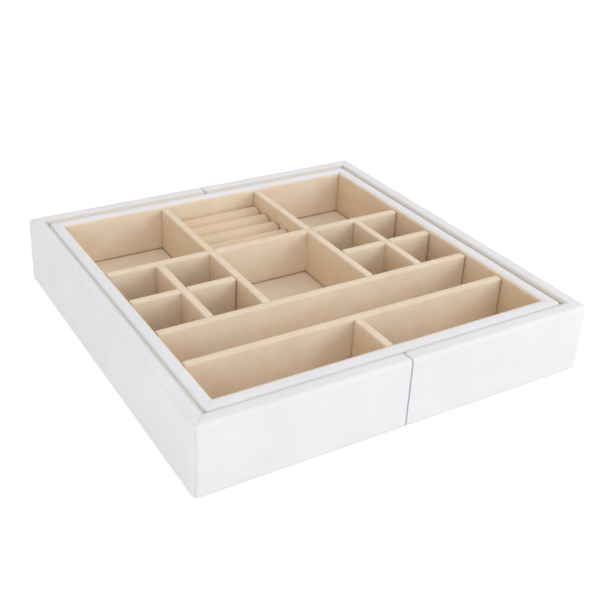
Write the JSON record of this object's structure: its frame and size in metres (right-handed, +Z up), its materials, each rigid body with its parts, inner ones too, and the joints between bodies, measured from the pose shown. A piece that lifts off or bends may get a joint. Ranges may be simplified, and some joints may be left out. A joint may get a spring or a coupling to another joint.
{
  "type": "expandable jewelry tray",
  "caption": "Square white leatherette jewelry tray with a velvet-lined, divided insert and ring bars; its two outer halves slide apart beneath the insert to widen it.",
  "frame": {"origin": "middle of the closed tray's footprint, on the surface it stands on", "axes": "+Z up, +X towards the right half, +Y towards the back row with the ring bars"},
  "size_m": [0.335, 0.335, 0.057],
  "materials": {
    "leatherette": "white leatherette, fine grain, satin",
    "board": "raw fibreboard, hidden by the covers",
    "lining_velvet": "short-pile beige velvet on card",
    "divider_velvet": "short-pile beige velvet wrapped round a board",
    "ring_velvet": "short-pile beige velvet round a foam bar",
    "felt": "pale pressed felt",
    "backing": "flocked backing sheet"
  },
  "bodies": {
    "insert": {"back_row_divider": "divider_velvet", "channel_back_divider": "divider_velvet", "channel_front_divider": "divider_velvet", "front_row_divider": "divider_velvet", "insert_back_board": "board", "insert_back_cover": "leatherette", "insert_back_lining": "lining_velvet", "insert_floor_board": "board", "insert_floor_lining": "lining_velvet", "insert_front_board": "board", "insert_front_cover": "leatherette", "insert_front_lining": "lining_velvet", "insert_left_board": "board", "insert_left_cover": "leatherette", "insert_left_lining": "lining_velvet", "insert_right_board": "board", "insert_right_cover": "leatherette", "insert_right_lining": "lining_velvet", "insert_underlay": "backing", "left_column_divider": "divider_velvet", "left_square_crosspiece": "divider_velvet", "left_square_divider": "divider_velvet", "right_column_divider": "divider_velvet", "right_square_crosspiece": "divider_velvet", "right_square_divider": "divider_velvet", "ring_bar_1": "ring_velvet", "ring_bar_2": "ring_velvet", "ring_bar_3": "ring_velvet", "ring_bar_4": "ring_velvet", "ring_bar_5": "ring_velvet"},
    "left_half": {"left_back_board": "board", "left_back_cover": "leatherette", "left_back_lining": "lining_velvet", "left_base_felt": "felt", "left_end_board": "board", "left_end_cover": "leatherette", "left_end_lining": "lining_velvet", "left_floor_board": "board", "left_floor_lining": "lining_velvet", "left_front_board": "board", "left_front_cover": "leatherette", "left_front_lining": "lining_velvet"},
    "right_half": {"right_back_board": "board", "right_back_cover": "leatherette", "right_back_lining": "lining_velvet", "right_base_felt": "felt", "right_end_board": "board", "right_end_cover": "leatherette", "right_end_lining": "lining_velvet", "right_floor_board": "board", "right_floor_lining": "lining_velvet", "right_front_board": "board", "right_front_cover": "leatherette", "right_front_lining": "lining_velvet"}
  },
  "joints": [
    {"name": "left_slide", "type": "slide", "parent": "insert", "child": "left_half", "axis": [-1, 0, 0], "range_m": [0, 0.1]},
    {"name": "right_slide", "type": "slide", "parent": "insert", "child": "right_half", "axis": [1, 0, 0], "range_m": [0, 0.1]}
  ]
}
